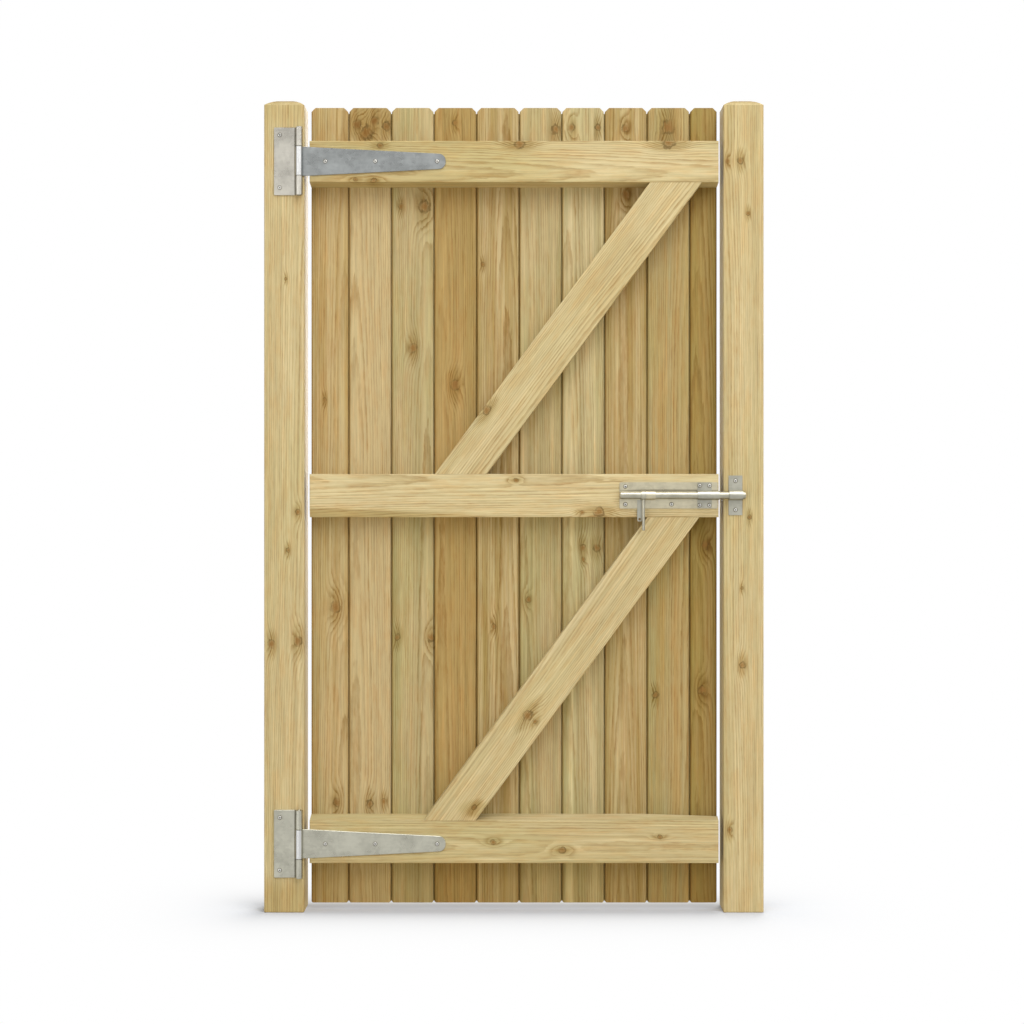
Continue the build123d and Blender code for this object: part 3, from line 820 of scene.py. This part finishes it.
# How far below the sheet a head without a countersink starts
FLAT_FOOT = 0.1 * MM


def countersunk_screw(settings):
    """A hinge's screw, modelled upright at the origin."""
    head = round_head("countersunk_screw", settings.sides, settings.shank_radius, settings.head_depth,
                      settings.head_radius, settings.dome, 0.8 * settings.dome)
    cross_recess(head, settings, settings.dome)
    return head


def pan_screw(settings):
    """A bolt's screw, modelled upright at the origin."""
    head = round_head("pan_screw", settings.sides, settings.head_radius, FLAT_FOOT,
                      settings.head_radius, settings.pan_height, 0.6 * settings.pan_height)
    cross_recess(head, settings, settings.pan_height)
    return head


def nail(settings):
    """A board's nail, modelled upright at the origin."""
    return round_head("nail", 12, settings.nail_radius, FLAT_FOOT,
                      settings.nail_radius, settings.nail_height, 0.5 * settings.nail_height)


# The turn in radians from one screw to the next, so that no two crosses stand alike
CROSS_TURN = 2.4


def set_out(master, name, places, towards, body, material):
    """Copies a head to each place, turned to face -Y or +Y, joins the copies and rides them on a body."""
    copies = []
    for number, place in enumerate(places):
        copy = master.copy()
        copy.data = master.data.copy()
        bpy.context.scene.collection.objects.link(copy)
        copy.rotation_euler = (math.radians(-90 * towards), CROSS_TURN * number, 0)
        copy.rotation_mode = "XYZ"
        copy.location = place
        copies.append(copy)
    deselect_all()
    for copy in copies:
        copy.select_set(True)
    bpy.context.view_layer.objects.active = copies[0]
    bpy.ops.object.transform_apply(location=True, rotation=True, scale=True)
    if len(copies) > 1:
        bpy.ops.object.join()
    piece = bpy.context.object
    piece.name = name
    bpy.ops.object.shade_smooth_by_angle(angle=math.radians(35))
    dress(piece, material)
    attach(piece, body)
    return piece


# Places of the fixings, in millimetres

# Heights of the hinges' middles, and the thickness of their sheet
HINGE_HEIGHTS = {"upper": 1685.0, "lower": 154.5}
HINGE_SHEET = 3.0

# Screws across, a plate's screws up and down from the hinge's middle, and the bolt's screws across and up
PLATE_SCREW_ACROSS = -9.5
PLATE_SCREW_SPREAD = 59.0
STRAP_SCREWS_ACROSS = (92.5, 204.5, 343.5)
BOLT_PLATE_SCREWS = ((765.5, 956), (765.5, 916), (869, 916))
LAST_GUIDE_SCREWS = ((932, 958), (932, 914), (954, 958), (954, 914))
KEEPER_SCREWS = ((1012.5, 968.5), (1012.5, 903.5))

# Fronts of the bolt's sheets where their screws sit
BOLT_PLATE_FRONT = -47.5
LAST_GUIDE_FRONT = -49.5
KEEPER_FRONT = -47.2

# Across to the hinges' axis, to the groove beside the knuckles that is painted with shade and to the strap's
# knuckle where a highlight is painted, the height above the hinge's middle of a seam between knuckles that
# is painted with shade, and the painted shadow above the rod
HINGE_AXIS = 34.5
KNUCKLE_GROOVE = 25.4
HIGHLIGHT_ACROSS = 32.5
KNUCKLE_SEAM = 32.9
ROD_SHADOW = Stain(865, 947, 120, 2.6, 0.6)


def on_sheet(places, front):
    """Points on a sheet from millimetres across and up, and its front in metres."""
    return [Vector((across * MM, front, up * MM)) for across, up in places]


def plate_screws(height):
    """Where a hinge plate's two screws are, across and up, on a hinge of that height."""
    return [(PLATE_SCREW_ACROSS, height + side * PLATE_SCREW_SPREAD) for side in (1, -1)]


def strap_screws(height):
    """Where a hinge strap's three screws are, across and up, on a hinge of that height."""
    return [(across, height) for across in STRAP_SCREWS_ACROSS]


def hinge_materials(which, zinc, plate_tone, strap_tone):
    """Zinc of a hinge's plate and of its strap."""
    height = HINGE_HEIGHTS[which]
    # Painted shade in the seams between knuckles and in the groove beside them, and a painted highlight on
    # the strap's knuckle
    seam_shade = [Stain(HINGE_AXIS, height + side * KNUCKLE_SEAM, 12, 0.9, 0.85) for side in (1, -1)]
    groove_shade = Stain(KNUCKLE_GROOVE, height, 1.9, 150, 0.9)
    knuckle_highlight = Stain(HIGHLIGHT_ACROSS, height, 8, 120, 1.0)
    plate = zinc_material(f"zinc_{which}_plate", plate_tone, zinc.spangle, roughness=0.16,
                          shade_spots=screw_shade_spots(plate_screws(height)) + [groove_shade] + seam_shade)
    strap = zinc_material(f"zinc_{which}_strap", strap_tone, zinc.spangle, roughness=0.16,
                          shade_spots=screw_shade_spots(strap_screws(height)) + seam_shade, highlights=[knuckle_highlight])
    return plate, strap


# The studio

# Painted shadow: the floor's darker, bluish colour where it is seen near the gate, grey there even where no
# lamp is blocked; and its colour for the light that it throws back at the gate
FLOOR_PAINTED_SHADE = (0.55, 0.57, 0.61)
FLOOR_BOUNCE = (0.80, 0.71, 0.53)

# Between these distances from the gate, in metres, the last of the shadow fades from the floor
SHADOW_EDGE = (0.15, 0.5)

# What the softboxes point at
GATE_MIDDLE = Vector((0.5, 0, 0.9))


def looked_at(t, rays):
    """1 for a ray by which something is seen, straight, in a reflection or through glass, else 0."""
    return t.maths("MAXIMUM", t.maths("MAXIMUM", rays["Is Camera Ray"], rays["Is Glossy Ray"]),
                   rays["Is Transmission Ray"])


# Operators

class GateStudio(bpy.types.Operator):
    """Set the camera, the white floor, the softboxes and the sky"""

    bl_idname = "gate.studio"
    bl_label = "Studio"

    def execute(self, context):
        settings = context.scene.gate_studio
        self.camera(context, settings)
        self.floor(settings)
        self.lamps(settings)
        self.sky(context, settings)
        context.scene.view_settings.view_transform = "Standard"
        return {"FINISHED"}

    def camera(self, context, settings):
        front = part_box("hinge_post")[0].y
        bpy.ops.object.camera_add(
            location=(settings.camera_across, front - settings.camera_distance, settings.camera_height),
            rotation=(math.radians(90), 0, 0))
        camera = context.object
        camera.name = "camera"
        camera.data.sensor_width = 36
        camera.data.lens = 36 * settings.camera_distance / settings.picture_width
        context.scene.camera = camera

    def floor(self, settings):
        deselect_all()
        gate = (cad_low + cad_high) / 2
        bpy.ops.mesh.primitive_plane_add(size=settings.floor_size, location=(gate.x, 0, 0))
        floor = bpy.context.object
        floor.name = "floor"
        bpy.ops.object.transform_apply(location=True)
        material, t, shader = new_material("white_floor")
        shader.inputs["Roughness"].default_value = 0.9
        where = t.add("ShaderNodeTexCoord").outputs["Object"]
        away = t.vector("ABSOLUTE", t.vector("SUBTRACT", where, (gate.x, 0, 0)))
        half = ((cad_high.x - cad_low.x) / 2, cad_high.y, 0)
        outside = t.vector("MAXIMUM", t.vector("SUBTRACT", away, half), (0, 0, 0))
        distance = t.vector("LENGTH", outside)
        # Painted shadow: near the gate the floor shows its darker colour, fading to the white glow with
        # distance from the gate
        shadow = t.maths("EXPONENT", t.maths("DIVIDE", distance, -settings.shadow_reach))
        fade = t.maths("MAXIMUM", t.maths("SUBTRACT", 1.0, shadow), t.span(distance, *SHADOW_EDGE))
        rays = t.add("ShaderNodeLightPath").outputs
        t.put(shader.inputs["Base Color"], t.mix(rays["Is Diffuse Ray"], FLOOR_PAINTED_SHADE, FLOOR_BOUNCE))
        glow = t.add("ShaderNodeEmission")
        t.fill(glow, Color=(1.0, 1.0, 1.0), Strength=1.0)
        blend = t.add("ShaderNodeMixShader")
        t.feed(blend, (t.maths("MULTIPLY", fade, looked_at(t, rays)),
                       shader.outputs["BSDF"], glow.outputs["Emission"]))
        t.put(material.node_tree.nodes["Material Output"].inputs["Surface"], blend.outputs["Shader"])
        dress(floor, material)

    def lamps(self, settings):
        # Name, place, side and power of each
        softboxes = [
            ("key_softbox", (5.0, -7.2, 7.0), 5.2, settings.key_power),
            ("fill_softbox", (-3.4, -5.2, 1.3), 2.6, settings.fill_power),
            ("top_softbox", (0.9, -1.3, 4.6), 2.6, settings.top_power),
            ("back_softbox", (1.9, 4.6, 2.2), 3.0, settings.back_power),
        ]
        for name, place, size, power in softboxes:
            bpy.ops.object.light_add(type="AREA", location=place)
            lamp = bpy.context.object
            lamp.name = name
            lamp.rotation_euler = (GATE_MIDDLE - Vector(place)).to_track_quat("-Z", "Y").to_euler()
            lamp.data.shape = "SQUARE"
            lamp.data.size = size
            lamp.data.energy = power

    def sky(self, context, settings):
        world = bpy.data.worlds.new("studio_sky")
        world.use_nodes = True
        context.scene.world = world
        t = Tree(world.node_tree)
        seen = looked_at(t, t.add("ShaderNodeLightPath").outputs)
        t.fill(world.node_tree.nodes["Background"], Color=(1.0, 1.0, 1.0),
               Strength=t.span(seen, 0.0, 1.0, settings.sky_strength, 1.0))


class GatePosts(bpy.types.Operator):
    """Finish the two planed posts"""

    bl_idname = "gate.posts"
    bl_label = "Posts"

    def execute(self, context):
        finish_sticks([name for name in STICKS if name.endswith("post")])
        return {"FINISHED"}


class GateBoards(bpy.types.Operator):
    """Finish the ten upright boards"""

    bl_idname = "gate.boards"
    bl_label = "Boards"

    def execute(self, context):
        finish_sticks([name for name in STICKS if name.startswith("board")])
        return {"FINISHED"}


class GateLedges(bpy.types.Operator):
    """Finish the three rails and the two braces"""

    bl_idname = "gate.ledges"
    bl_label = "Rails and braces"

    def execute(self, context):
        finish_sticks([name for name in STICKS if name.endswith(("rail", "brace"))])
        return {"FINISHED"}


class GateHinges(bpy.types.Operator):
    """Finish the tee hinges and drive their screws"""

    bl_idname = "gate.hinges"
    bl_label = "Tee hinges"

    def execute(self, context):
        zinc = context.scene.gate_zinc
        pins = zinc_material("zinc_hinge_pins", zinc.bright, zinc.spangle, roughness=0.12)
        tones = {"upper": (zinc.pale, zinc.blue), "lower": (zinc.dull, zinc.dull)}
        for which, (plate_tone, strap_tone) in tones.items():
            plate, strap = hinge_materials(which, zinc, plate_tone, strap_tone)
            dress(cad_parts[f"{which}_hinge_plate"], plate)
            dress(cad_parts[f"{which}_hinge_strap"], strap)
            dress(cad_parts[f"{which}_hinge_pin"], pins)
        # Each screw's recess is painted black as shade
        heads = zinc_material("zinc_screws", zinc.screw, zinc.spangle, roughness=0.14, shaded_recess=True)
        master = countersunk_screw(context.scene.gate_fixing)
        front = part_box("top_rail")[0].y - HINGE_SHEET * MM
        for which, height in HINGE_HEIGHTS.items():
            set_out(master, f"{which}_plate_screws", on_sheet(plate_screws(height), front), -1,
                    "posts", heads)
            set_out(master, f"{which}_strap_screws", on_sheet(strap_screws(height), front), -1,
                    "leaf", heads)
        bpy.data.objects.remove(master)
        return {"FINISHED"}


class GateBolt(bpy.types.Operator):
    """Finish the sliding bolt and its keeper, and drive their screws"""

    bl_idname = "gate.bolt"
    bl_label = "Bolt"

    def execute(self, context):
        zinc = context.scene.gate_zinc
        # Painted shade round the screws, and a painted shadow along the plate above the rod
        sheet = zinc_material("zinc_bolt_plate", zinc.warm, zinc.spangle, roughness=0.18,
                              shade_spots=screw_shade_spots(BOLT_PLATE_SCREWS) + [ROD_SHADOW])
        keeper = zinc_material("zinc_keeper", zinc.grey, zinc.spangle, roughness=0.20,
                               shade_spots=screw_shade_spots(LAST_GUIDE_SCREWS + KEEPER_SCREWS))
        bar = zinc_material("zinc_bar", zinc.bright, zinc.spangle, roughness=0.20, relief_depth=0.01 * MM)
        finishes = {"bolt_backplate": sheet, "first_guide": sheet, "last_guide": keeper,
                    "padlock_lug": keeper, "bolt_keeper": keeper, "bolt_rod": bar, "bolt_handle": bar}
        for node, material in finishes.items():
            dress(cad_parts[node], material)
        heads = bpy.data.materials["zinc_screws"]
        master = pan_screw(context.scene.gate_fixing)
        set_out(master, "bolt_plate_screws", on_sheet(BOLT_PLATE_SCREWS, BOLT_PLATE_FRONT * MM), -1,
                "leaf", heads)
        set_out(master, "last_guide_screws", on_sheet(LAST_GUIDE_SCREWS, LAST_GUIDE_FRONT * MM), -1,
                "leaf", heads)
        set_out(master, "keeper_screws", on_sheet(KEEPER_SCREWS, KEEPER_FRONT * MM), -1,
                "posts", heads)
        bpy.data.objects.remove(master)
        return {"FINISHED"}


class GateNails(bpy.types.Operator):
    """Nail the boards to the rails from behind"""

    bl_idname = "gate.nails"
    bl_label = "Nails"

    def execute(self, context):
        fixing, zinc = context.scene.gate_fixing, context.scene.gate_zinc
        places = []
        for board in (name for name in STICKS if name.startswith("board")):
            low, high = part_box(board)
            left, right = low.x + fixing.nail_edge, high.x - fixing.nail_edge
            for rail in ("top_rail", "middle_rail", "bottom_rail"):
                height = middle(rail).z
                places.append(Vector((left, high.y, height + fixing.nail_stagger)))
                places.append(Vector((right, high.y, height - fixing.nail_stagger)))
        steel = zinc_material("zinc_nails", zinc.dull, zinc.spangle, roughness=0.35)
        master = nail(fixing)
        set_out(master, "board_nails", places, 1, "leaf", steel)
        bpy.data.objects.remove(master)
        return {"FINISHED"}


class GatePanel(bpy.types.Panel):
    """Lists the settings and the steps in the sidebar of the 3D view"""

    bl_idname = "VIEW3D_PT_gate"
    bl_label = "Side gate"
    bl_space_type = "VIEW_3D"
    bl_region_type = "UI"
    bl_category = "Gate"

    def draw(self, context):
        layout = self.layout
        for name, group in SETTINGS.items():
            box = layout.box()
            for setting in group.__annotations__:
                box.prop(getattr(context.scene, name), setting)
        for step in STEPS:
            layout.operator(step.bl_idname)


SETTINGS = {"gate_studio": GateStudioSettings, "gate_timber": GateTimberSettings,
            "gate_zinc": GateZincSettings, "gate_fixing": GateFixingSettings}
STEPS = (GateStudio, GatePosts, GateBoards, GateLedges, GateHinges, GateBolt, GateNails)


def register():
    for name, group in SETTINGS.items():
        bpy.utils.register_class(group)
        setattr(bpy.types.Scene, name, PointerProperty(type=group))
    for step in STEPS:
        bpy.utils.register_class(step)
    bpy.utils.register_class(GatePanel)


def unregister():
    bpy.utils.unregister_class(GatePanel)
    for step in reversed(STEPS):
        bpy.utils.unregister_class(step)
    for name, group in SETTINGS.items():
        delattr(bpy.types.Scene, name)
        bpy.utils.unregister_class(group)


def main():
    register()
    bpy.ops.gate.studio()
    bpy.ops.gate.posts()
    bpy.ops.gate.boards()
    bpy.ops.gate.ledges()
    bpy.ops.gate.hinges()
    bpy.ops.gate.bolt()
    bpy.ops.gate.nails()


if __name__ == "__main__":
    main()
